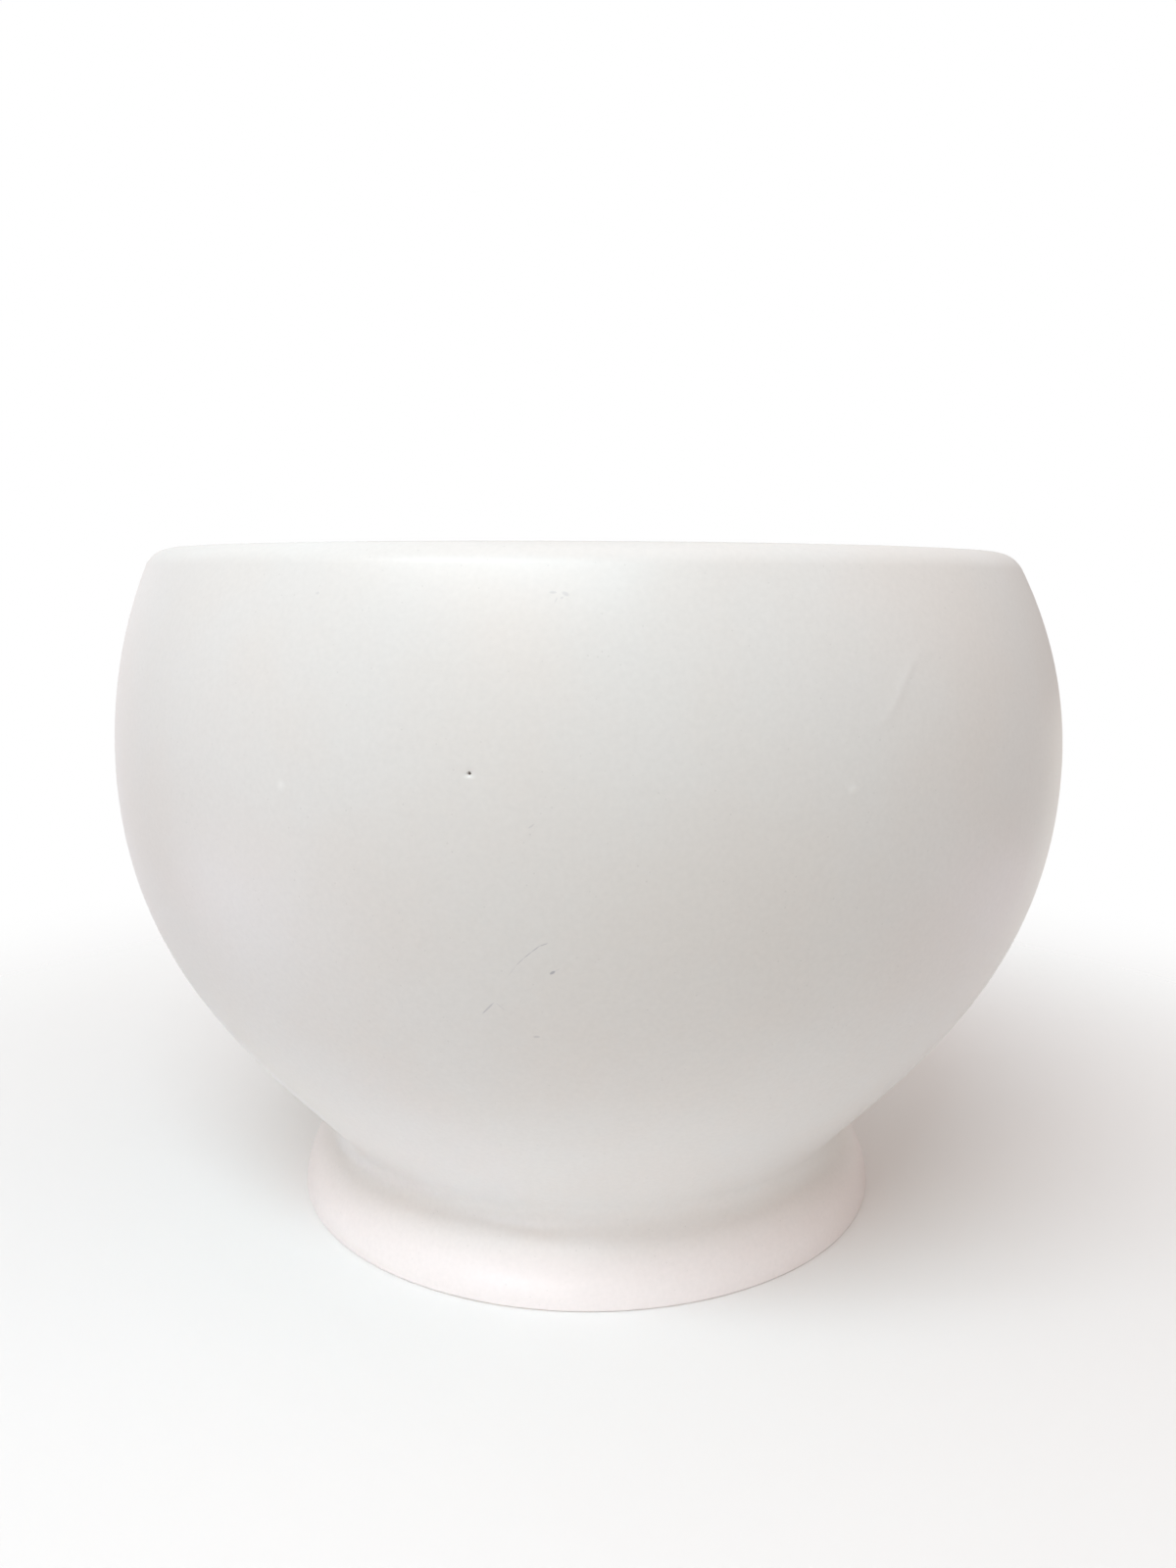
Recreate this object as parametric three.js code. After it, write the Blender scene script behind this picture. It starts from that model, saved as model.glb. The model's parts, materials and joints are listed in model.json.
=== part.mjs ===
// A ceramic bowl vase: a round bellied bowl luted with slip onto a low, hollow foot ring.
// Millimetres, +Z up. The origin is the centre of the circle that the foot stands on.
// Every piece is turned about Z, so each one is a closed outline of (radius, height) points, spun round.
import * as THREE from "three";

// The bowl's outside
const BELLY_DIAMETER = 200; // the widest part
const BELLY_HEIGHT = 99; // height of the widest part above the table
const TOTAL_HEIGHT = 141; // height of the lip's crown
const SHOULDER_RADIUS = 91; // arc of the wall from the belly up to the lip
const LIP_RADIUS = 6; // outer rounding of the lip
const LOWER_WALL_ANGLE = THREE.MathUtils.degToRad(41); // lean of the wall above the neck, from upright
const BELLY_FULLNESS = 0.49; // how far the lower wall stays upright below the belly, as a share of its rise
const NECK_FULLNESS = 0.34; // how far it stays straight above the neck, as a share of its rise

// The bowl's inside
const WALL_THICKNESS = 6.5;
const FLOOR_THICKNESS = 6;
const FLOOR_CORNER = 12; // the flat floor ends this far inside the wall at the neck
const INNER_BELLY_FULLNESS = 0.455; // as BELLY_FULLNESS, for the inside
const INNER_FLOOR_FULLNESS = 0.43; // how far the inside stays flat beyond the floor, as a share of its run

// The neck, where the foot is luted on
const NECK_DIAMETER = 117; // the narrowest part
const NECK_HEIGHT = 15.2;
const NECK_FILLET = 5; // hollow rounding of the crease between bowl and foot
const SLIP_THICKNESS = 0.6;

// The foot ring
const FOOT_DIAMETER = 130;
const FOOT_SIDE_RADIUS = 16; // convex arc of the foot's outside
const FOOT_EDGE_RADIUS = 1.2; // rounding of its lower edge
const FOOT_WALL = 8;
const FOOT_INNER_CHAMFER = 1.5;

// How finely the round shapes are faceted
const FACETS_AROUND = 64;
const ARC_TOLERANCE = 0.06; // furthest that a chord may lie from its arc
const WALL_CURVE_STEPS = 12;

const GLAZE_COLOUR = 0xeceae5;
const GLAZE_ROUGHNESS = 0.5;
const SLIP_COLOUR = 0xe4ddd2;
const SLIP_ROUGHNESS = 0.9;
const QUARTER_TURN = Math.PI / 2;
const HALF_TURN = Math.PI;

const at = (radius, height) => new THREE.Vector2(radius, height);
const along = (angle, length = 1) => at(Math.cos(angle) * length, Math.sin(angle) * length);
const angleFrom = (start, end) => Math.atan2(end.y - start.y, end.x - start.x);

// Points of a circle's arc between two angles, close enough together for ARC_TOLERANCE.
function arc(centre, radius, from, to) {
  const widestStep = 2 * Math.acos(1 - ARC_TOLERANCE / radius);
  const steps = Math.max(2, Math.ceil(Math.abs(to - from) / widestStep));
  return new THREE.EllipseCurve(centre.x, centre.y, radius, radius, from, to, to < from).getPoints(steps);
}

// Points of a cubic curve between two ends, with a handle at each.
function wallCurve(start, startHandle, endHandle, end) {
  return new THREE.CubicBezierCurve(start, startHandle, endHandle, end).getPoints(WALL_CURVE_STEPS);
}

// The point at given distances from two centres, on the side of them that faces the axis.
function innerCrossing(low, fromLow, high, fromHigh) {
  const span = low.distanceTo(high);
  const reach = (fromLow ** 2 - fromHigh ** 2 + span ** 2) / (2 * span);
  const offset = Math.sqrt(fromLow ** 2 - reach ** 2);
  const direction = angleFrom(low, high);
  return low
    .clone()
    .add(along(direction, reach))
    .add(along(direction + QUARTER_TURN, offset));
}

// One outline from several runs of points, without the points that two runs share.
function outline(...runs) {
  const points = [];
  for (const point of runs.flat()) {
    if (!points.length || !points.at(-1).equals(point)) {
      points.push(point);
    }
  }
  return points;
}

// A named solid: the outline spun round the Z axis.
function turned(name, points, colour, roughness) {
  const geometry = new THREE.LatheGeometry(points, FACETS_AROUND).rotateX(QUARTER_TURN);
  const material = new THREE.MeshStandardMaterial({ color: colour, roughness, metalness: 0 });
  const mesh = new THREE.Mesh(geometry, material);
  mesh.name = name;
  return mesh;
}

// The neck: a hollow fillet, cut level by the slip joint a little below and above its narrowest height.
const neckRadius = NECK_DIAMETER / 2;
const filletCentre = at(neckRadius + NECK_FILLET, NECK_HEIGHT);
const jointAngle = Math.asin(SLIP_THICKNESS / 2 / NECK_FILLET);
const jointRadius = filletCentre.x - NECK_FILLET * Math.cos(jointAngle);
const footTop = NECK_HEIGHT - SLIP_THICKNESS / 2;
const bowlBase = NECK_HEIGHT + SLIP_THICKNESS / 2;
const recessRadius = neckRadius - FOOT_WALL;

function bowl() {
  const belly = at(BELLY_DIAMETER / 2, BELLY_HEIGHT);
  const wallStart = along(HALF_TURN - LOWER_WALL_ANGLE, NECK_FILLET).add(filletCentre);
  const rise = belly.y - wallStart.y;
  const neckHandle = along(QUARTER_TURN - LOWER_WALL_ANGLE, NECK_FULLNESS * rise).add(wallStart);
  const bellyHandle = at(belly.x, belly.y - BELLY_FULLNESS * rise);

  // The lip's outer arc touches the shoulder arc from inside, and its crown is at the full height.
  const shoulderCentre = at(belly.x - SHOULDER_RADIUS, belly.y);
  const lipHeight = TOTAL_HEIGHT - LIP_RADIUS;
  const lipReach = Math.sqrt((SHOULDER_RADIUS - LIP_RADIUS) ** 2 - (lipHeight - belly.y) ** 2);
  const lipCentre = at(shoulderCentre.x + lipReach, lipHeight);
  const lipAngle = angleFrom(shoulderCentre, lipCentre);

  // The lip's inner arc runs from the crown to the inner wall, so the wall's thickness sets its radius.
  const innerRadius = SHOULDER_RADIUS - WALL_THICKNESS;
  const crownRise = TOTAL_HEIGHT - belly.y;
  const innerLipRadius =
    (lipReach ** 2 - innerRadius ** 2 + crownRise ** 2) / (2 * (innerRadius + crownRise));
  const innerLipCentre = at(lipCentre.x, TOTAL_HEIGHT - innerLipRadius);
  const innerLipAngle = angleFrom(shoulderCentre, innerLipCentre);

  const innerBelly = at(belly.x - WALL_THICKNESS, belly.y);
  const floorHeight = bowlBase + FLOOR_THICKNESS;
  const floorEdge = at(neckRadius - WALL_THICKNESS - FLOOR_CORNER, floorHeight);
  const innerDrop = innerBelly.y - floorHeight;
  const innerRun = innerBelly.x - floorEdge.x;
  const innerBellyHandle = at(innerBelly.x, innerBelly.y - INNER_BELLY_FULLNESS * innerDrop);
  const floorHandle = at(floorEdge.x + INNER_FLOOR_FULLNESS * innerRun, floorHeight);

  const points = outline(
    [at(0, bowlBase), at(jointRadius, bowlBase)],
    arc(filletCentre, NECK_FILLET, HALF_TURN - jointAngle, HALF_TURN - LOWER_WALL_ANGLE).slice(1, -1),
    wallCurve(wallStart, neckHandle, bellyHandle, belly),
    arc(shoulderCentre, SHOULDER_RADIUS, 0, lipAngle).slice(1),
    arc(lipCentre, LIP_RADIUS, lipAngle, QUARTER_TURN).slice(1),
    arc(innerLipCentre, innerLipRadius, QUARTER_TURN, HALF_TURN + innerLipAngle).slice(1),
    arc(shoulderCentre, innerRadius, innerLipAngle, 0).slice(1, -1),
    wallCurve(innerBelly, innerBellyHandle, floorHandle, floorEdge),
    [at(0, floorHeight)],
  );
  return turned("bowl", points, GLAZE_COLOUR, GLAZE_ROUGHNESS);
}

function slipJoint() {
  const inner = [at(recessRadius, bowlBase), at(recessRadius, footTop)];
  const outer = [at(jointRadius, footTop), at(jointRadius, bowlBase)];
  return turned("slip_joint", outline(inner, outer, [inner[0]]), SLIP_COLOUR, SLIP_ROUGHNESS);
}

function footRing() {
  const footRadius = FOOT_DIAMETER / 2;
  const edgeCentre = at(footRadius - FOOT_EDGE_RADIUS, FOOT_EDGE_RADIUS);
  const sideCentre = innerCrossing(
    edgeCentre,
    FOOT_SIDE_RADIUS - FOOT_EDGE_RADIUS,
    filletCentre,
    FOOT_SIDE_RADIUS + NECK_FILLET,
  );
  const edgeAngle = angleFrom(sideCentre, edgeCentre);
  const neckAngle = angleFrom(sideCentre, filletCentre);
  const innerFoot = footRadius - FOOT_WALL;
  const standing = at(innerFoot + FOOT_INNER_CHAMFER, 0);

  const points = outline(
    [standing],
    arc(edgeCentre, FOOT_EDGE_RADIUS, -QUARTER_TURN, edgeAngle),
    arc(sideCentre, FOOT_SIDE_RADIUS, edgeAngle, neckAngle).slice(1),
    arc(filletCentre, NECK_FILLET, HALF_TURN + neckAngle, HALF_TURN + jointAngle).slice(1, -1),
    [at(jointRadius, footTop), at(recessRadius, footTop)],
    [at(innerFoot, FOOT_INNER_CHAMFER), standing],
  );
  return turned("foot_ring", points, GLAZE_COLOUR, GLAZE_ROUGHNESS);
}

const vase = new THREE.Group();
vase.add(bowl(), slipJoint(), footRing());

export default vase;
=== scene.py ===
# %% [markdown]
# # A white bowl vase, dressed for its picture
# The object is a fired clay vase: a round bellied bowl, stuck with clay slip onto a low foot ring, all under
# one satin white glaze. Its solids are there already, faceted and plain, and every part of the scene is
# placed by them. This lesson makes each piece again as a fine smooth surface, gives it its glaze and its
# small flaws, and then sets up the floor, the light and the camera.

# %% Load the frame
import json
import math

import bpy
import numpy as np
from mathutils import Matrix, Vector


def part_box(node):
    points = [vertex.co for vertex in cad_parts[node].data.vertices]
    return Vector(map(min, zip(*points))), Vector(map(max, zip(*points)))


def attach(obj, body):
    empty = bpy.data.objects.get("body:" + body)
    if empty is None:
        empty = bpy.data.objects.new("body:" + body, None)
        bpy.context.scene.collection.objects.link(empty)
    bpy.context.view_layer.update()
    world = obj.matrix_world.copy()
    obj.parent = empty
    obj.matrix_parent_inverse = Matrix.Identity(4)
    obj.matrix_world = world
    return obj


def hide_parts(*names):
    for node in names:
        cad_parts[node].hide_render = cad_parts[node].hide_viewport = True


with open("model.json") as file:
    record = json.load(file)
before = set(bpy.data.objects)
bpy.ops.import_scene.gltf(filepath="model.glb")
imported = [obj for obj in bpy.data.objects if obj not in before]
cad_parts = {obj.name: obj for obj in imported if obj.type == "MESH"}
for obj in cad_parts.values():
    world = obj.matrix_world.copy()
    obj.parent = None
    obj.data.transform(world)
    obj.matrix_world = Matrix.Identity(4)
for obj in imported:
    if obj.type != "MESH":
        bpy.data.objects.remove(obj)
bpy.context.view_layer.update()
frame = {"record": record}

# %% [markdown]
# ## Sizes
# A potter measures a vase at its belly, rim, neck and foot. Those sizes are read from the frame's boxes, so
# that the smooth pieces can't drift away from the solids that they replace. What a box can't tell, such as
# the roundings, is named here once. How full a free curve is says how far its handle reaches, as a share of
# the curve's rise or run. The foot's lower edge is crisper than the solid's, because the picture shows it so.

# %% Sizes from the frame, and the roundings
MM = 0.001

belly_radius, _, rim_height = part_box("bowl")[1]
joint_radius, _, bowl_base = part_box("slip_joint")[1]
foot_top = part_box("slip_joint")[0][2]
foot_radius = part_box("foot_ring")[1][0]
mounts = {mount["name"]: mount["pos_m"] for mount in frame["record"]["mounts"]}
floor_height = mounts["inner_floor"][2]

BELLY_HEIGHT = 99 * MM
SHOULDER_RADIUS = 91 * MM
LIP_RADIUS = 6 * MM
WALL_THICKNESS = 6.5 * MM
FLOOR_CORNER = 12 * MM
NECK_FILLET = 5 * MM
FOOT_SIDE_RADIUS = 16 * MM
FOOT_EDGE_RADIUS = 0.5 * MM
FOOT_INNER_EDGE = 1.5 * MM
FOOT_WALL = 8 * MM
LOWER_WALL_ANGLE = math.radians(41)
BELLY_FULLNESS, NECK_FULLNESS = 0.49, 0.34
INNER_BELLY_FULLNESS, INNER_FLOOR_FULLNESS = 0.455, 0.43

print(f"belly {2 * belly_radius / MM:.0f} mm across, foot {2 * foot_radius / MM:.0f} mm across")
print(f"rim {rim_height / MM:.0f} mm high, inner floor {floor_height / MM:.0f} mm high")

# %% [markdown]
# ## Curves
# Every section of the vase is a chain of circle arcs and free curves. They could be drawn as Bezier splines
# and spun with a Screw modifier, but then the rows and columns of the mesh couldn't be crowded together
# where a flaw needs them. So each curve is a formula on a whole array of parameters, and a helper chooses
# parameters that lie closer together at chosen places.

# %% Arcs, free curves and crowded steps
# A quarter and a half of a full turn, in radians.
QUARTER = math.pi / 2
HALF = math.pi
FINE_STEPS = 40001


def polar(angle, length=1.0):
    """The point at that distance and angle from the origin: (length cos a, length sin a)."""
    return np.stack((np.cos(angle), np.sin(angle)), axis=-1) * length


def arc(centre, radius, angles):
    """Points of a circle: the centre plus the radius times the cosine and sine of each angle."""
    return np.asarray(centre) + polar(angles, radius)


def free_curve(start, start_handle, end_handle, end, steps):
    """A cubic Bezier curve: its four corners weighted by (1-t)^3, 3t(1-t)^2, 3t^2(1-t) and t^3."""
    t = np.linspace(0, 1, steps + 1)[:, None]
    weights = np.hstack(((1 - t) ** 3, 3 * t * (1 - t) ** 2, 3 * t**2 * (1 - t), t**3))
    return weights @ np.array((start, start_handle, end_handle, end))


def crowded(start, stop, steps, bells):
    """Values from start to stop, closer together at some places: a density of 1, plus pull times a bell curve
    for each (place, width, pull), is summed up, and equal steps of the sum are turned back into values."""
    fine = np.linspace(start, stop, FINE_STEPS)
    place, width, pull = np.reshape(bells, (-1, 3, 1)).swapaxes(0, 1)
    density = 1 + (pull * np.exp(-(((fine - place) / width) ** 2))).sum(axis=0)
    grown = np.concatenate(((0,), np.cumsum((density[1:] + density[:-1]) / 2)))
    return np.interp(np.linspace(0, grown[-1], steps + 1), grown, fine)


def angle_between(start, end):
    """The direction from one point of a section to another, as an angle."""
    return math.atan2(end[1] - start[1], end[0] - start[0])


print("crowded 0 to 1 near 0.5:", crowded(0, 1, 8, [(0.5, 0.1, 6)]).round(2))

# %% [markdown]
# ## From section to mesh
# Throwing and slip casting both make a surface that is round about one axis. Spinning the section in numpy
# gives a grid of rows (up the section) and columns (round the axis). Blender needs corner numbers for each
# face: neighbours in the grid share them, the last column meets the first, and a row that lies on the axis
# shrinks to one point, so that no hole or doubled seam is left.

# %% Spin a section and number its faces


def spin(section, angles):
    """A turned surface: a section point (r, z), turned by a, lies at (r sin a, -r cos a, z)."""
    r, z = section[:, :1], section[:, 1:]
    return np.stack((r * np.sin(angles), -r * np.cos(angles), z + 0 * angles), axis=-1)


def quads(numbers, closed_section):
    """Four corner numbers a face, for a grid of point numbers: each point, the next column's, the one above
    that, and the one above the point. Columns always close round the axis, rows if the section is closed."""
    right = np.roll(numbers, -1, axis=1)
    faces = np.stack((numbers, right, np.roll(right, -1, axis=0), np.roll(numbers, -1, axis=0)), axis=-1)
    return (faces if closed_section else faces[:-1]).reshape(-1, 4)


print("faces of a ring of 2 rows and 3 columns:", quads(np.arange(6).reshape(2, 3), True).tolist())

# %% Make a piece from a grid of points
SHARP_EDGE = math.radians(50)


def make_piece(name, points, faces):
    """An object at the origin with these points and faces, shaded smooth except across sharp edges."""
    mesh = bpy.data.meshes.new(name)
    mesh.from_pydata(points.tolist(), [], faces)
    mesh.polygons.foreach_set("use_smooth", np.ones(len(faces), dtype=bool))
    mesh.set_sharp_from_angle(angle=SHARP_EDGE)
    piece = bpy.data.objects.new(name, mesh)
    bpy.context.collection.objects.link(piece)
    print(f"{name}: {len(points)} points, {len(faces)} faces")
    return piece


def ring_piece(name, grid):
    """A piece whose section closes on itself, such as a ring."""
    numbers = np.arange(grid.shape[0] * grid.shape[1]).reshape(grid.shape[:2])
    return make_piece(name, grid.reshape(-1, 3), quads(numbers, True).tolist())


def vessel_piece(name, grid):
    """A piece whose section starts and ends on the axis: those two rows become one point each."""
    rings = grid[1:-1]
    points = np.vstack((grid[0, :1], rings.reshape(-1, 3), grid[-1, :1]))
    numbers = 1 + np.arange(rings.shape[0] * rings.shape[1]).reshape(rings.shape[:2])
    first, last = numbers[0], numbers[-1]
    bottom = np.stack((0 * first, np.roll(first, -1), first), axis=-1)
    top = np.stack((last, np.roll(last, -1), 0 * last + len(points) - 1), axis=-1)
    return make_piece(name, points, quads(numbers, False).tolist() + bottom.tolist() + top.tolist())


print(f"edges sharper than {math.degrees(SHARP_EDGE):.0f} degrees stay crisp")

# %% [markdown]
# ## The bowl's section
# The section starts on the axis under the bowl, runs out to the neck, up the outside, over the lip and down
# the inside to the middle of the floor. On each face of the wall the shoulder is one arc, and the lip is a
# smaller one that runs into it. The wall below the belly is a free curve that leaves the neck's hollow fillet
# straight on. One spline through measured points could follow it too, but would wobble where arcs run true.

# %% The neck, and how finely the section is cut
FILLET_POINTS, WALL_STEPS, SHOULDER_STEPS, LIP_POINTS = 20, 56, 76, 25
INNER_LIP_POINTS, INNER_SHOULDER_POINTS, INNER_WALL_STEPS = 14, 14, 30
# The floor's first ring lies at this share of its radius, and its last point on the axis.
FLOOR_POINTS, FLOOR_START = 6, 0.9

joint_half = (bowl_base - foot_top) / 2
neck_height = foot_top + joint_half
joint_angle = math.asin(joint_half / NECK_FILLET)
neck_radius = joint_radius - NECK_FILLET * (1 - math.cos(joint_angle))
fillet_centre = np.array((neck_radius + NECK_FILLET, neck_height))
print(f"neck {2 * neck_radius / MM:.1f} mm across at a height of {neck_height / MM:.1f} mm")

# %% The outside, with rows crowded where the glaze has flaws
# Each place where rows crowd has a height and a width in mm, and a pull.
FLAW_ROWS = ((103.6, 0.55, 12), (107.0, 0.55, 12), (118.5, 7.0, 1.5))


def lip_middle(radius):
    """The centre of a lip arc of that radius, that far below the rim's crown. The outer lip arc touches the
    shoulder from inside, so their centres are as far apart as their radii differ: that places the crown."""
    lip_height = rim_height - LIP_RADIUS - BELLY_HEIGHT
    reach = math.sqrt((SHOULDER_RADIUS - LIP_RADIUS) ** 2 - lip_height**2)
    return np.array((belly_radius - SHOULDER_RADIUS + reach, rim_height - radius))


def outer_section():
    """The bowl's outside, from the neck joint up to the lip's crown: fillet, free curve, shoulder, lip."""
    belly = np.array((belly_radius, BELLY_HEIGHT))
    wall_start = fillet_centre + polar(HALF - LOWER_WALL_ANGLE, NECK_FILLET)
    rise = belly[1] - wall_start[1]
    neck_handle = wall_start + polar(QUARTER - LOWER_WALL_ANGLE, NECK_FULLNESS * rise)
    belly_handle = belly - (0, BELLY_FULLNESS * rise)
    shoulder_centre = belly - (SHOULDER_RADIUS, 0)
    lip_centre = lip_middle(LIP_RADIUS)
    lip_angle = angle_between(shoulder_centre, lip_centre)
    shoulder_top = shoulder_centre[1] + SHOULDER_RADIUS * math.sin(lip_angle)
    bells = [(height * MM, width * MM, pull) for height, width, pull in FLAW_ROWS]
    shoulder_heights = crowded(BELLY_HEIGHT, shoulder_top, SHOULDER_STEPS, bells)
    shoulder_angles = np.arcsin((shoulder_heights - BELLY_HEIGHT) / SHOULDER_RADIUS)
    fillet_angles = np.linspace(HALF - joint_angle, HALF - LOWER_WALL_ANGLE, FILLET_POINTS)
    return np.vstack((
        arc(fillet_centre, NECK_FILLET, fillet_angles)[:-1],
        free_curve(wall_start, neck_handle, belly_handle, belly, WALL_STEPS)[:-1],
        arc(shoulder_centre, SHOULDER_RADIUS, shoulder_angles)[:-1],
        arc(lip_centre, LIP_RADIUS, np.linspace(lip_angle, QUARTER, LIP_POINTS)),
    ))


outer = outer_section()
print("outside of the bowl:", len(outer), "points")

# %% The inside


def inner_section():
    """The bowl's inside, from just past the lip's crown to the floor's middle: lip, shoulder, free curve and
    floor. The lip arc's radius is the one with which it reaches the crown and touches the inner shoulder."""
    shoulder_centre = np.array((belly_radius - SHOULDER_RADIUS, BELLY_HEIGHT))
    inner_radius = SHOULDER_RADIUS - WALL_THICKNESS
    crown = rim_height - BELLY_HEIGHT
    reach = lip_middle(LIP_RADIUS)[0] - shoulder_centre[0]
    lip_radius = (reach**2 - inner_radius**2 + crown**2) / (2 * (inner_radius + crown))
    lip_centre = lip_middle(lip_radius)
    lip_angle = angle_between(shoulder_centre, lip_centre)
    belly = np.array((belly_radius - WALL_THICKNESS, BELLY_HEIGHT))
    floor_edge = np.array((neck_radius - WALL_THICKNESS - FLOOR_CORNER, floor_height))
    drop, run = belly[1] - floor_height, belly[0] - floor_edge[0]
    belly_handle = belly - (0, INNER_BELLY_FULLNESS * drop)
    floor_handle = floor_edge + (INNER_FLOOR_FULLNESS * run, 0)
    floor_radii = floor_edge[0] * np.linspace(FLOOR_START, 0, FLOOR_POINTS)
    return np.vstack((
        arc(lip_centre, lip_radius, np.linspace(QUARTER, HALF + lip_angle, INNER_LIP_POINTS))[1:-1],
        arc(shoulder_centre, inner_radius, np.linspace(lip_angle, 0, INNER_SHOULDER_POINTS))[:-1],
        free_curve(belly, belly_handle, floor_handle, floor_edge, INNER_WALL_STEPS),
        np.column_stack((floor_radii, np.full(FLOOR_POINTS, floor_height))),
    ))


bowl_section = np.vstack(((0, bowl_base), outer, inner_section()))
print("bowl section:", len(bowl_section), "points")

# %% [markdown]
# ## What the kiln did
# No fired pot is perfectly true. This one's rim sits a little to the left of its belly, and its glaze shows
# one pinhole, where a bubble burst, two pimples, and a low ripple where it ran. A bump map would vanish at
# the outline and in the exported mesh, so they are moved points. The columns are crowded at the flaws, as the
# rows are. Places on the wall are azimuths in degrees, from the front to the right, and heights in mm.

# %% Where the flaws are, and columns crowded there
RIM_LEAN = -1.3 * MM
PINHOLE = (-10.13, 106.93)
PIMPLES = ((-28.54, 103.3), (23.86, 103.75))
RIPPLE = (
    (36.0, 125.4), (32.6, 123.5), (31.2, 121.0), (30.2, 119.0),
    (29.4, 117.0), (28.0, 114.7), (26.2, 112.2),
)
PINHOLE_RADIUS, PINHOLE_DEPTH, PINHOLE_STEEPNESS = 0.27 * MM, 0.4 * MM, 4
DIMPLE_RADIUS, DIMPLE_DEPTH = 0.75 * MM, 0.12 * MM
PIMPLE_RADIUS, PIMPLE_RISE = 0.8 * MM, 0.1 * MM
RIPPLE_RADIUS, RIPPLE_RISE = 0.8 * MM, 0.105 * MM
RIPPLE_STEPS = 61
COLUMNS = 380
# Each place where columns crowd has an azimuth and a width in degrees, and a pull.
SPOT_WIDTH, SPOT_PULL = 0.6, 16
RIPPLE_COLUMNS = (30.5, 4.5, 2.5)

flaw_columns = [(azimuth, SPOT_WIDTH, SPOT_PULL) for azimuth, _ in (PINHOLE, *PIMPLES)] + [RIPPLE_COLUMNS]
column_bells = [(math.radians(place), math.radians(width), pull) for place, width, pull in flaw_columns]
columns = crowded(-HALF, HALF, COLUMNS, column_bells)[:-1]
gaps = np.degrees(np.diff(columns))
print(f"columns {gaps.min():.2f} to {gaps.max():.2f} degrees apart")

# %% The leaning wall, and places on it


def lean(points):
    """Moves points sideways by the rim's lean times the square of how far up they are from belly to rim."""
    share = np.clip((points[..., 2] - BELLY_HEIGHT) / (rim_height - BELLY_HEIGHT), 0, None)
    return points + np.array((RIM_LEAN, 0, 0)) * share[..., None] ** 2


def on_wall(place):
    """The point of the leaning outer wall at a place, or an array of points at an array of places."""
    azimuth, height = np.moveaxis(np.asarray(place, dtype=float), -1, 0)
    angle, z = np.radians(azimuth), height * MM
    radius = np.interp(z, outer[:, 1], outer[:, 0])
    return lean(np.stack((radius * np.sin(angle), -radius * np.cos(angle), z), axis=-1))


print("the pinhole lies at", on_wall(PINHOLE).round(4))

# %% Bumps, the ripple and the whole bowl


def bump(points, centre, radius, rise, power=2):
    """A move out from the axis, or in if rise is negative, by rise times exp(-(distance / radius)^power)."""
    outward = centre * (1, 1, 0) / np.linalg.norm(centre[:2])
    distance = np.linalg.norm(points - centre, axis=-1)[..., None]
    return outward * rise * np.exp(-((distance / radius) ** power))


def ripple(points):
    """A low ridge along a path: at each point the largest of the bumps at closely set places on the path. The
    bumps rise from nothing at both its ends, as the root of the sine of the share of the path behind them."""
    share = np.linspace(0, 1, RIPPLE_STEPS)
    corners = np.linspace(0, 1, len(RIPPLE))
    path = on_wall(np.column_stack([np.interp(share, corners, values) for values in np.transpose(RIPPLE)]))
    ridge = 0 * points
    for centre, rise in zip(path, RIPPLE_RISE * np.sqrt(np.abs(np.sin(HALF * share)))):
        step = bump(points, centre, RIPPLE_RADIUS, rise)
        higher = np.linalg.norm(step, axis=-1) > np.linalg.norm(ridge, axis=-1)
        ridge = np.where(higher[..., None], step, ridge)
    return ridge


def flawed(points):
    """The points with the glaze's steep pinhole in a shallow dimple, its two pimples and its ripple."""
    pinhole = on_wall(PINHOLE)
    moved = bump(points, pinhole, PINHOLE_RADIUS, -PINHOLE_DEPTH, PINHOLE_STEEPNESS)
    moved += bump(points, pinhole, DIMPLE_RADIUS, -DIMPLE_DEPTH)
    for pimple in on_wall(PIMPLES):
        moved += bump(points, pimple, PIMPLE_RADIUS, PIMPLE_RISE)
    return points + moved + ripple(points)


bowl = vessel_piece("glazed_bowl", flawed(lean(spin(bowl_section, columns))))

# %% [markdown]
# ## The foot ring
# The foot is a low ring that was trimmed on the wheel or cast by itself: hollow underneath, standing on a
# narrow flat face, with a convex side that meets the neck's hollow fillet. A Bevel modifier on a coarse ring
# would only come near it. Here its side arc has to touch both the small edge rounding and the fillet, so its
# centre lies at a known distance from each of their centres.

# %% Work out and spin the foot ring
FOOT_COLUMNS = 256
EDGE_POINTS, SIDE_POINTS, INNER_EDGE_POINTS = 14, 40, 12


def crossing(low, from_low, high, from_high):
    """The point at given distances from two centres, on the axis' side of the line between them: the law of
    cosines gives how far along that line it lies, and a right triangle how far beside it."""
    span = np.linalg.norm(high - low)
    reach = (from_low**2 - from_high**2 + span**2) / (2 * span)
    direction = angle_between(low, high)
    return low + polar(direction, reach) + polar(direction + QUARTER, math.sqrt(from_low**2 - reach**2))


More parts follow.
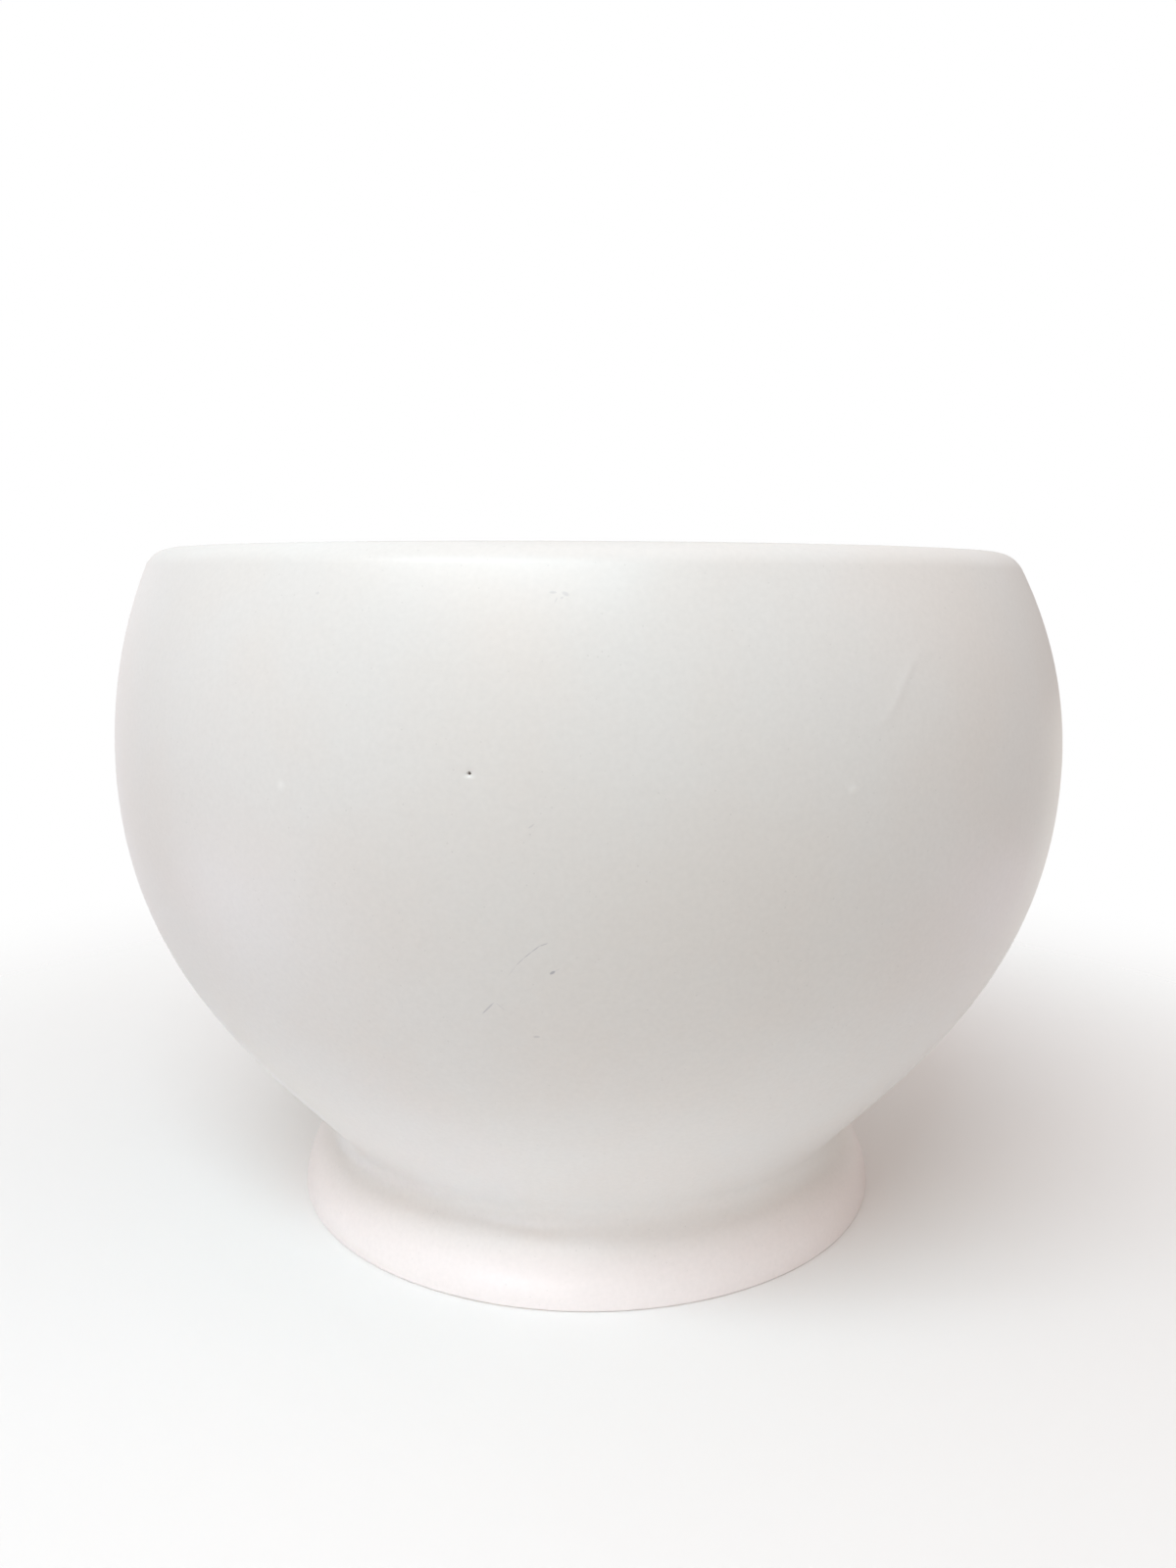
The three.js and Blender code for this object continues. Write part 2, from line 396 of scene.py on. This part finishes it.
def foot_section():
    """The ring's outline: standing face, edge, side, neck fillet, joint face, inner wall, inner edge."""
    edge_centre = np.array((foot_radius - FOOT_EDGE_RADIUS, FOOT_EDGE_RADIUS))
    side_centre = crossing(
        edge_centre, FOOT_SIDE_RADIUS - FOOT_EDGE_RADIUS, fillet_centre, FOOT_SIDE_RADIUS + NECK_FILLET
    )
    edge_angle = angle_between(side_centre, edge_centre)
    neck_angle = angle_between(side_centre, fillet_centre)
    recess_radius = neck_radius - FOOT_WALL
    inner_centre = np.array((foot_radius - FOOT_WALL + FOOT_INNER_EDGE, FOOT_INNER_EDGE))
    return np.vstack((
        arc(edge_centre, FOOT_EDGE_RADIUS, np.linspace(-QUARTER, edge_angle, EDGE_POINTS))[:-1],
        arc(side_centre, FOOT_SIDE_RADIUS, np.linspace(edge_angle, neck_angle, SIDE_POINTS))[:-1],
        arc(fillet_centre, NECK_FILLET, np.linspace(HALF + neck_angle, HALF + joint_angle, FILLET_POINTS)),
        (recess_radius, foot_top),
        arc(inner_centre, FOOT_INNER_EDGE, np.linspace(-HALF, -QUARTER, INNER_EDGE_POINTS)),
    ))


foot_columns = np.linspace(-HALF, HALF, FOOT_COLUMNS + 1)[:-1]
foot = ring_piece("glazed_foot_ring", spin(foot_section(), foot_columns))

# %% [markdown]
# ## The slip joint
# Slip is clay stirred with water. A ring of it sticks the foot to the bowl before firing, and its outer edge
# is the narrowest part of the neck. It could stay the faceted solid that it is, but its face goes on along
# the neck's fillet, so it is spun like its neighbours and no step shows there.

# %% Spin the slip joint
JOINT_POINTS = 5

edge_angles = np.linspace(HALF + joint_angle, HALF - joint_angle, JOINT_POINTS)
outer_edge = arc(fillet_centre, NECK_FILLET, edge_angles)
inner_edge = np.array(((neck_radius - FOOT_WALL, bowl_base), (neck_radius - FOOT_WALL, foot_top)))
slip = ring_piece("glazed_slip_joint", spin(np.vstack((outer_edge, inner_edge)), foot_columns))

# %% [markdown]
# ## Shader maths
# Blender keeps a material as a tree of nodes, and a formula as a chain of Math nodes. Wired by hand that is
# hard to read, so this small class wraps an output socket. A sum or product of two of them adds its node,
# and every other kind of node is made by one method: its type, its settings and its inputs.

# %% A socket that can be calculated with


class Wire:
    """An output socket of a material. Arithmetic with wires and numbers adds Math nodes to the same tree."""

    def __init__(self, socket):
        self.socket = socket

    def node(self, kind, settings=None, inputs=None, output=0):
        """A new node of that type: settings come first, then a wire or a plain value for each input."""
        tree = self.socket.id_data
        made = tree.nodes.new(kind)
        for name, value in (settings or {}).items():
            setattr(made, name, value)
        for name, value in (inputs or {}).items():
            if isinstance(value, Wire):
                tree.links.new(value.socket, made.inputs[name])
            else:
                made.inputs[name].default_value = value
        return Wire(made.outputs[output]) if made.outputs else None

    def math(self, operation, first, second):
        """A Math node on two values."""
        return self.node("ShaderNodeMath", {"operation": operation}, {0: first, 1: second})

    def __add__(self, other):
        return self.math("ADD", self, other)

    def __sub__(self, other):
        return self.math("SUBTRACT", self, other)

    def __mul__(self, other):
        return self.math("MULTIPLY", self, other)

    def __rsub__(self, other):
        return self.math("SUBTRACT", other, self)

    __radd__ = __add__
    __rmul__ = __mul__

    def ramp(self, low, high):
        """0 where this value is low, 1 where it is high, and a smooth step between; low may be the larger."""
        inputs = {"Value": self, "From Min": low, "From Max": high}
        return self.node("ShaderNodeMapRange", {"interpolation_type": "SMOOTHSTEP"}, inputs)

    def blend(self, colour, other):
        """One colour where this value is 0, the other where it is 1."""
        return self.node("ShaderNodeMix", {"data_type": "RGBA"}, {0: self, 6: colour, 7: other}, 2)

    def noise(self, size, detail=2.0):
        """Soft noise from 0 to 1 on this position, with lumps about that size in metres."""
        inputs = {"Vector": self, "Scale": 1 / size, "Detail": detail}
        return self.node("ShaderNodeTexNoise", {}, inputs)


print("operators:", [name for name in vars(Wire) if name.startswith("__r")])

# %% [markdown]
# ## Marks in the glaze
# The vase has been marked in the kiln and in use: a hairline scratch and short grey ticks cross its front.
# Besides these, the pimples' tips and the pinhole's lower lip are painted paler, as painted highlights where
# their flanks face the light, and the pinhole's pit is painted nearly black inside. A painted picture could
# hold them, but it would need unwrapping and a file of its own. So each mark is a stretched ball around a
# stroke on the wall, and it stays where it is from any side. A stroke has two ends, which are places on the
# wall as above, half its width in mm, and a strength.

# %% Strokes on the wall
HAIRLINE = ((-3.5, 81.3), (-4.25, 80.8), (-4.95, 79.8), (-5.65, 78.75), (-6.4, 77.4), (-7.2, 75.45))
HAIRLINE_DARKNESS = (0.31, 0.31, 0.27, 0.19, 0.08)
HAIRLINE_HALF_WIDTH, HAIRLINE_OVERLAP = 0.1, 0.1
TICKS = {
    "low tick": ((-8.65, 70.8), (-9.9, 68.55), 0.2, 0.22),
    "low end": ((-9.6, 69.1), (-9.9, 68.55), 0.16, 0.1),
    "low tail": ((-8.6, 70.8), (-7.6, 69.2), 0.12, 0.1),
    "short dot": ((-3.0, 76.55), (-3.3, 76.2), 0.3, 0.42),
    "short tail": ((-2.45, 77.1), (-3.0, 76.55), 0.12, 0.1),
    "high tick": ((-4.55, 99.8), (-5.05, 99.15), 0.16, 0.14),
    "blot": ((-4.6, 64.65), (-5.15, 64.6), 0.25, 0.19),
    "speck": ((-26.1, 132.95), (-26.3, 132.9), 0.28, 0.11),
    "left dash": ((-2.5, 133.3), (-3.05, 133.3), 0.24, 0.15),
    "right blob": ((-1.45, 132.95), (-1.85, 133.25), 0.38, 0.14),
    "middle dot": ((-1.95, 132.55), (-2.05, 132.5), 0.22, 0.13),
    "faint streak": ((-2.4, 132.6), (-2.65, 131.75), 0.15, 0.1),
}
# Painted highlights: the pimples' tips and the pinhole's lower lip are painted paler, where their flanks face
# the light.
PAINTED_HIGHLIGHT_SPOTS = {
    "left pimple": ((-28.55, 103.5), (-28.5, 103.1), 1.2, 0.42),
    "right pimple": ((23.7, 103.75), (24.0, 103.75), 1.2, 0.34),
    "pinhole lip": ((-10.6, 106.5), (-9.66, 106.5), 0.45, 0.8),
}
PITS = {"pinhole": ((-10.13, 107.05), (-10.13, 106.99), 0.31, 0.7)}

hairline = np.array(HAIRLINE)
overlap = HAIRLINE_OVERLAP * np.diff(hairline, axis=0)
starts, ends = hairline[:-1] - overlap, hairline[1:] + overlap
widths = [HAIRLINE_HALF_WIDTH] * len(overlap)
dark_marks = list(zip(starts, ends, widths, HAIRLINE_DARKNESS)) + list(TICKS.values())
print("marks:", len(dark_marks), "dark strokes and", len(PAINTED_HIGHLIGHT_SPOTS), "pale spots")

# %% Strokes as shader maths
STROKE_DEPTH = 2 * MM
HARD_CORE, SOFT_CORE = 0.45, 0.0


def stroke(place, start, end, half_width, core):
    """A stretched ball round a stroke between two places on the wall. Positions are turned and scaled so that
    the ball's rim is at length 1. The value is 1 up to the length of its core, and fades to 0 at the rim."""
    ends = [Vector(point) for point in on_wall((start, end))]
    middle, along = (ends[0] + ends[1]) / 2, ends[1] - ends[0]
    outward = Vector((middle.x, middle.y, 0)).normalized()
    across = along.cross(outward).normalized()
    axes = Matrix((along.normalized(), across.cross(along).normalized(), across)).transposed()
    size = (along.length / 2 + half_width, STROKE_DEPTH, half_width)
    inputs = {"Vector": place, "Location": middle, "Rotation": axes.to_euler(), "Scale": size}
    local = place.node("ShaderNodeMapping", {"vector_type": "TEXTURE"}, inputs)
    reach = local.node("ShaderNodeVectorMath", {"operation": "LENGTH"}, {0: local}, "Value")
    return reach.ramp(1.0, core)


def strokes(place, marks, core=HARD_CORE):
    """All of some marks, each times how strong it is, added up."""
    total = 0
    for start, end, half_width, strength in marks:
        total = stroke(place, start, end, half_width * MM, core) * strength + total
    return total


print("a hard mark is full to", HARD_CORE, "of its width, a soft one to", SOFT_CORE)

# %% [markdown]
# ## The glaze
# A satin white glaze is an opaque white skin with a slightly waxy, broken reflection. Up close its tone
# drifts a little, and it shows a fine grain and a few pin-point specks. Low on the foot the colour turns a
# little pinker and is painted lighter: a painted light, where the foot's lower side is lit below the
# belly's shade. Where the foot stands the glaze was wiped off, so that a thin line of warm bare clay shows.
# One flat colour would look like plastic, so each of these is a layer over the last, laid by noise, by cells
# or by height.

# %% Tones and sizes of the glaze
WHITE = (0.829, 0.82, 0.804, 1)
WARM_WHITE = (0.829, 0.804, 0.778, 1)
# Pinker, and painted lighter: painted light where the foot's lower side is lit below the belly's shade.
PINK_AND_LIT_FOOT_WHITE = (0.879, 0.819, 0.804, 1)
# The colour of the painted highlights on the pimples and the pinhole's lip.
PAINTED_HIGHLIGHT_WHITE = (0.93, 0.93, 0.91, 1)
SPECK_GREY = (0.45, 0.44, 0.43, 1)
MARK_GREY = (0.07, 0.08, 0.18, 1)
PIT_BROWN = (0.02, 0.018, 0.016, 1)
BARE_CLAY = (0.84, 0.74, 0.69, 1)
DRIFT_SIZE, DRIFT_DETAIL, DRIFT_RANGE = 28 * MM, 3, (0.3, 0.7)
GRAIN_SIZE, GRAIN_STRENGTH = 0.9 * MM, 0.15
SPECK_SPACING, SPECK_STRENGTH = 1.6 * MM, 0.18
SPECK_EDGE, SPECK_CHOICE = (0.125, 0.05), (0.5, 0.7)
# Heights over which the foot turns pinker and painted lighter.
PINK_AND_LIT_FOOT_HEIGHTS = (14 * MM, 6 * MM)
GLAZE_EDGE, EDGE_WANDER, EDGE_FADE = 0.4 * MM, 0.4 * MM, 0.2 * MM
SATIN_ROUGHNESS, ROUGHNESS_DRIFT, BARE_ROUGHNESS = 0.38, 0.1, 0.85
SKIN_SIZE, SKIN_DETAIL, SKIN_GRAIN = 1.6 * MM, 1, 0.3
SKIN_STRENGTH, SKIN_DEPTH = 0.05, 0.1 * MM
GLAZE_IOR = 1.5

print(f"tone drifts over {DRIFT_SIZE / MM:.0f} mm, specks are about {SPECK_SPACING / MM:.1f} mm apart")

# %% The glaze material


def glaze(name):
    """Satin white with drifting tone, grain and specks, pinker and painted lighter low on the foot, with its
    marks, painted highlights on the pimples and the pinhole's lip, and the pinhole's pit painted nearly
    black;
    bare clay below a wandering line at the very foot."""
    material = bpy.data.materials.new(name)
    material.use_nodes = True
    tree = material.node_tree
    tree.nodes.clear()
    place = Wire(tree.nodes.new("ShaderNodeTexCoord").outputs["Object"])

    height = place.node("ShaderNodeSeparateXYZ", {}, {0: place}, "Z")
    drift = place.noise(DRIFT_SIZE, DRIFT_DETAIL)
    grain = place.noise(GRAIN_SIZE)
    colour = drift.ramp(*DRIFT_RANGE).blend(WHITE, WARM_WHITE)
    # Painted light: low on the foot the colour turns pinker and lighter.
    colour = height.ramp(*PINK_AND_LIT_FOOT_HEIGHTS).blend(colour, PINK_AND_LIT_FOOT_WHITE)

    # A cell's own colour, turned grey, is its random number: it says which cells hold a speck.
    cells = {"Vector": place, "Scale": 1 / SPECK_SPACING}
    to_speck = place.node("ShaderNodeTexVoronoi", {}, cells, "Distance")
    chosen = place.node("ShaderNodeTexVoronoi", {}, cells, "Color").ramp(*SPECK_CHOICE)
    specks = to_speck.ramp(*SPECK_EDGE) * chosen
    colour = (grain * GRAIN_STRENGTH + specks * SPECK_STRENGTH).blend(colour, SPECK_GREY)
    colour = strokes(place, dark_marks).blend(colour, MARK_GREY)
    # Painted highlights on the pimples' tips and the pinhole's lower lip.
    colour = strokes(place, PAINTED_HIGHLIGHT_SPOTS.values(), SOFT_CORE).blend(colour, PAINTED_HIGHLIGHT_WHITE)
    colour = strokes(place, PITS.values()).blend(colour, PIT_BROWN)

    bare = (height + drift * EDGE_WANDER).ramp(GLAZE_EDGE, GLAZE_EDGE - EDGE_FADE)
    colour = bare.blend(colour, BARE_CLAY)

    satin = SATIN_ROUGHNESS - ROUGHNESS_DRIFT / 2 + drift * ROUGHNESS_DRIFT
    roughness = satin * (1 - bare) + bare * BARE_ROUGHNESS
    skin = place.noise(SKIN_SIZE, SKIN_DETAIL) + grain * SKIN_GRAIN
    waxy = {"Strength": SKIN_STRENGTH, "Distance": SKIN_DEPTH, "Height": skin}
    normal = place.node("ShaderNodeBump", {}, waxy)
    finish = {"Base Color": colour, "Roughness": roughness, "Normal": normal, "IOR": GLAZE_IOR}
    shader = place.node("ShaderNodeBsdfPrincipled", {}, finish)
    place.node("ShaderNodeOutputMaterial", {}, {"Surface": shader})
    print(f"{name}: {len(tree.nodes)} nodes")
    return material


for piece in (bowl, foot, slip):
    piece.data.materials.append(glaze("satin_" + piece.name))

# %% [markdown]
# ## Fastening the pieces to the frame
# The vase has no moving parts, so everything rides on its one body. Each smooth piece stands for the solid
# that it was made from.

# %% Ride and replace
stands_for = {"bowl": (bowl, "glaze"), "foot_ring": (foot, "glaze"), "slip_joint": (slip, "slip")}
for node, (piece, finish) in stands_for.items():
    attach(piece, "root")
    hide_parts(node)
    print(piece.name, "stands for", node)

# %% [markdown]
# ## Floor
# The vase stands on a pale table. A table that ran on to the horizon would need far more lamps to stay white,
# so this one melts into the room: its shader is mixed with a see-through one by the distance from the vase.

# %% A floor that melts away
FLOOR_SIDE = 1.0
FLOOR_SOLID, FLOOR_GONE = 0.09, 0.32
FLOOR_WHITE = (0.9, 0.895, 0.89, 1)
FLOOR_ROUGHNESS = 0.9

floor_mesh = bpy.data.meshes.new("floor")
corners = FLOOR_SIDE / 2 * np.array(((-1, -1, 0), (1, -1, 0), (1, 1, 0), (-1, 1, 0)))
floor_mesh.from_pydata(corners.tolist(), [], [(0, 1, 2, 3)])
floor = bpy.data.objects.new("floor", floor_mesh)
bpy.context.collection.objects.link(floor)


def pale_floor():
    """Matt white that turns see-through between two distances from the vase."""
    material = bpy.data.materials.new("pale_floor")
    material.use_nodes = True
    tree = material.node_tree
    tree.nodes.clear()
    place = Wire(tree.nodes.new("ShaderNodeTexCoord").outputs["Object"])
    distance = place.node("ShaderNodeVectorMath", {"operation": "LENGTH"}, {0: place}, "Value")
    fade = distance.ramp(FLOOR_SOLID, FLOOR_GONE)
    table = {"Base Color": FLOOR_WHITE, "Roughness": FLOOR_ROUGHNESS}
    matt = place.node("ShaderNodeBsdfPrincipled", {}, table)
    clear = place.node("ShaderNodeBsdfTransparent")
    mixed = place.node("ShaderNodeMixShader", {}, {0: fade, 1: matt, 2: clear})
    place.node("ShaderNodeOutputMaterial", {}, {"Surface": mixed})
    return material


floor_mesh.materials.append(pale_floor())
print("floor solid to", FLOOR_SOLID, "m and gone at", FLOOR_GONE, "m")

# %% [markdown]
# ## Room
# The room is white to look at, but a room as bright as that would wash out every shade on the vase. So it is
# white to the camera's own rays only, and lights the vase as a dimmer, slightly warm grey. Blender's usual
# view would also turn white into grey, so the plain Standard one is chosen.

# %% White room
ROOM_WHITE = (1, 1, 1, 1)
ROOM_LIGHT = (0.4835, 0.4545, 0.4255, 1)


def white_room():
    """A world that is white to the camera's own rays and a dimmer, warmer grey to all others."""
    world = bpy.data.worlds.new("white_room")
    world.use_nodes = True
    tree = world.node_tree
    tree.nodes.clear()
    seen = Wire(tree.nodes.new("ShaderNodeLightPath").outputs["Is Camera Ray"])
    background = seen.node("ShaderNodeBackground", {}, {"Color": seen.blend(ROOM_LIGHT, ROOM_WHITE)})
    seen.node("ShaderNodeOutputWorld", {}, {"Surface": background})
    return world


bpy.context.scene.world = white_room()
bpy.context.scene.view_settings.view_transform = "Standard"
print("the room lights the vase with", ROOM_LIGHT[:3])

# %% [markdown]
# ## Light
# The room gives about half of the light, and soft lamps give the rest. One big lamp would be simpler, but it
# can't shade the wall as the picture does. The key is a wide strip, high in front and to the left, with a
# weaker, warmer strip beside it. Being wide, they stretch the highlight on the lip, and being high, they
# leave soft shade under the belly. A small warm lamp adds the glow under that highlight, and a panel hangs
# overhead. Panels behind the vase brighten its edges, and one fills from the right. The panels below the
# table's level shine up past its clear rim, as the light that a larger table sends back would. The foot is
# the brightest part, so two small strips with narrow beams stand low and reach little but the foot.

# %% Soft lamps
BOWL_AIM = Vector((0, 0, 80 * MM))
FOOT_AIM = Vector((0, 0, 8 * MM))
# A kind of lamp is what it faces, its distance, its width and height in metres, and its beam's angle.
STRIP = (BOWL_AIM, 0.75, (0.6, 0.12), HALF)
SMALL = (BOWL_AIM, 0.75, (0.15, 0.1), HALF)
PANEL = (BOWL_AIM, 1.0, (0.7, 0.7), HALF)
FOOT_STRIP = (FOOT_AIM, 0.6, (0.2, 0.03), math.radians(14))
# A lamp is its kind, its azimuth from the front and its elevation in degrees, its watts and its colour.
LAMPS = {
    "key": (STRIP, -22, 52, 3.08, (0.72, 0.92, 1)),
    "key left": (STRIP, -38, 48, 0.66, (1, 0.74, 0.68)),
    "glow": (SMALL, -18, 32, 0.14, (1, 0.4, 0.1)),
    "top": (PANEL, 0, 80, 1.0, (1, 0.77, 0.81)),
    "left edge": (PANEL, -145, 35, 0.6, (0.75, 0.91, 1)),
    "left back": (PANEL, -145, -5, 0.98, (0.98, 0.95, 1)),
    "left low": (PANEL, -85, -35, 2.75, (0.79, 0.77, 1)),
    "right edge": (PANEL, 145, 35, 0.4, (1, 0.92, 0.95)),
    "right back": (PANEL, 145, -20, 1.16, (0.98, 1, 0.94)),
    "right low": (PANEL, 105, -35, 1.45, (0.86, 0.76, 1)),
    "right fill": (PANEL, 85, 35, 0.6, (1, 0.63, 0.58)),
    "foot front": (FOOT_STRIP, -14, 2.3, 0.0047, (1, 0.9, 0.84)),
    "foot left": (FOOT_STRIP, -30, 2.3, 0.0057, (0.66, 0.8, 1)),
}


def soft_lamp(name, kind, azimuth, elevation, power, colour):
    """An area lamp of that kind, turned to what it faces: its direction from there is
    (sin azimuth cos elevation, -cos azimuth cos elevation, sin elevation)."""
    aim, distance, size, beam = kind
    data = bpy.data.lights.new(name, "AREA")
    data.shape = "RECTANGLE"
    data.size, data.size_y = size
    data.energy = power
    data.color = colour
    data.spread = beam
    lamp = bpy.data.objects.new(name, data)
    a, e = math.radians(azimuth), math.radians(elevation)
    away = Vector((math.sin(a) * math.cos(e), -math.cos(a) * math.cos(e), math.sin(e)))
    lamp.location = aim + away * distance
    lamp.rotation_euler = away.to_track_quat("Z", "Y").to_euler()
    lamp.visible_camera = False
    bpy.context.collection.objects.link(lamp)


for name, lamp in LAMPS.items():
    soft_lamp(name, *lamp)
print(len(LAMPS), "lamps:", ", ".join(LAMPS))

# %% [markdown]
# ## Camera
# The picture was taken close up, from just under the rim's height and looking a little down. The camera could
# be moved by eye, but a close view changes shape with every few millimetres. So its place, its tilt and its
# lens are those that make the vase's outline fall where it does in the picture.

# %% Camera
IMAGE_HEIGHT = 1600
FOCAL_PIXELS = 1267
CAMERA_PLACE = (-0.1 * MM, -278.2 * MM, 134.8 * MM)
CAMERA_PITCH = math.radians(9.23)
CAMERA_ROLL = math.radians(0.28)
NEAREST_SEEN = 10 * MM

camera_data = bpy.data.cameras.new("camera")
# Blender lays the sensor's width along the picture's longer side, which is its height here.
camera_data.lens = camera_data.sensor_width * FOCAL_PIXELS / IMAGE_HEIGHT
camera_data.clip_start = NEAREST_SEEN
camera = bpy.data.objects.new("camera", camera_data)
camera.location = CAMERA_PLACE
tilt = Matrix.Rotation(QUARTER - CAMERA_PITCH, 3, "X") @ Matrix.Rotation(CAMERA_ROLL, 3, "Z")
camera.rotation_euler = tilt.to_euler()
bpy.context.collection.objects.link(camera)
bpy.context.scene.camera = camera
print(f"lens {camera_data.lens:.1f} mm")
